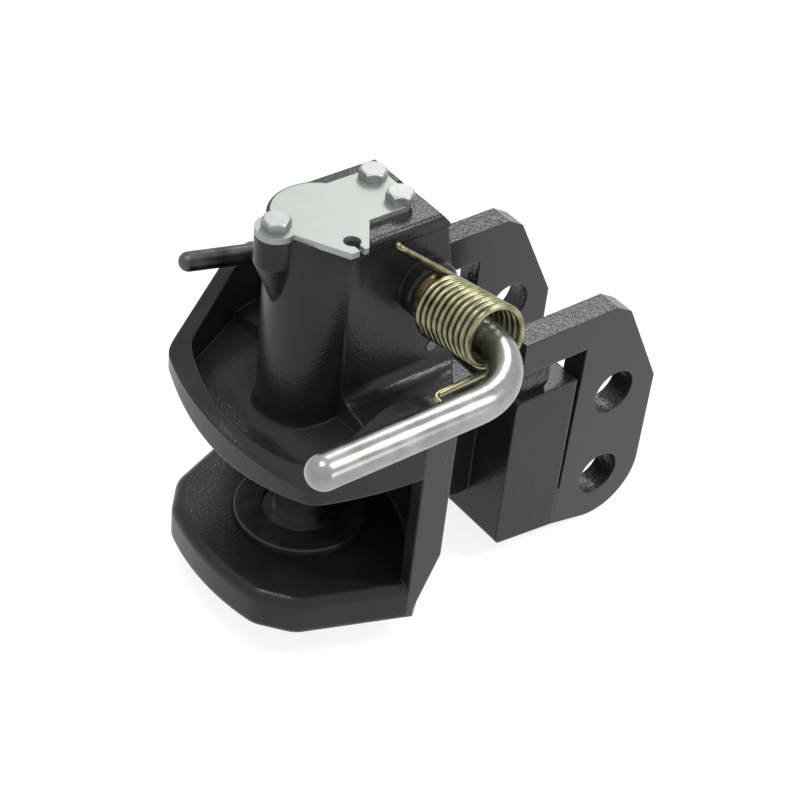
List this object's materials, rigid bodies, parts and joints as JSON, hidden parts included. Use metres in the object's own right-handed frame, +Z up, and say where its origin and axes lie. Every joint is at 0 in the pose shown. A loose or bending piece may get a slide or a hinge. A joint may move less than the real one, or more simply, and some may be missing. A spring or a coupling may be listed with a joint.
{
  "type": "automatic hitch",
  "caption": "Cast pin hitch with flared jaws, a lifting coupling pin worked by a bent hand lever and crank, a roof trigger, a torsion spring and drilled mounting plates.",
  "frame": {"origin": "coupling pin axis at the top of the wear ring, where the drawbar eye sits", "axes": "+Z up along the coupling pin, +Y towards the mounting plates, +X towards the hand lever"},
  "size_m": [0.207, 0.2945, 0.2483],
  "materials": {
    "casting_paint": "gloss black paint over rough cast steel",
    "plate_paint": "gloss black paint over flame-cut plate",
    "weld_paint": "gloss black paint over a rippled weld bead",
    "wear_steel": "dark painted ring",
    "bush_steel": "machined steel",
    "bush_bronze": "plain bronze",
    "cover_zinc": "satin zinc plating with a faint green cast",
    "bolt_zinc": "bright zinc plating",
    "spring_zinc": "yellow passivated zinc plating",
    "lever_zinc": "bright zinc plating",
    "arm_zinc": "dull zinc plating",
    "pivot_steel": "turned steel",
    "pin_steel": "dark hardened steel"
  },
  "bodies": {
    "body": {"hitch_body": "casting_paint", "left_mounting_plate": "plate_paint", "right_mounting_plate": "plate_paint", "left_plate_weld": "weld_paint", "right_plate_weld": "weld_paint", "wear_ring": "wear_steel", "lower_pin_bush": "bush_steel", "upper_guide_bush": "bush_steel", "left_shaft_bush": "bush_bronze", "right_shaft_bush": "bush_bronze", "cover_plate": "cover_zinc", "cover_bolts": "bolt_zinc", "trigger_pivot_pin": "pivot_steel", "torsion_spring": "spring_zinc", "trigger_spring": "spring_zinc"},
    "lever": {"hand_lever": "lever_zinc", "remote_arm": "arm_zinc", "lift_crank": "pivot_steel", "crank_roll_pin": "pivot_steel"},
    "pin": {"coupling_pin": "pin_steel", "lift_cross_pin": "pivot_steel"},
    "trigger": {"release_trigger": "pivot_steel"}
  },
  "joints": [
    {"name": "lever_lift", "type": "hinge", "parent": "body", "child": "lever", "pos_m": [0, 0.044, 0.152], "axis": [-1, 0, 0], "range_deg": [0, 76.1], "stiffness_Nm_per_rad": 0.6, "springref_deg": -17.19, "deforming": ["torsion_spring"]},
    {"name": "pin_lift", "type": "slide", "parent": "body", "child": "pin", "axis": [0, 0, 1], "range_m": [0, 0.072]},
    {"name": "trigger_swing", "type": "hinge", "parent": "body", "child": "trigger", "pos_m": [0, 0.052, 0.111], "axis": [1, 0, 0], "range_deg": [0, 12], "stiffness_Nm_per_rad": 0.8, "springref_deg": -5.73, "deforming": ["trigger_spring"]}
  ],
  "couplings": [
    {"joint": "pin_lift", "follows": "lever_lift", "m_per_rad": 0.0542}
  ]
}
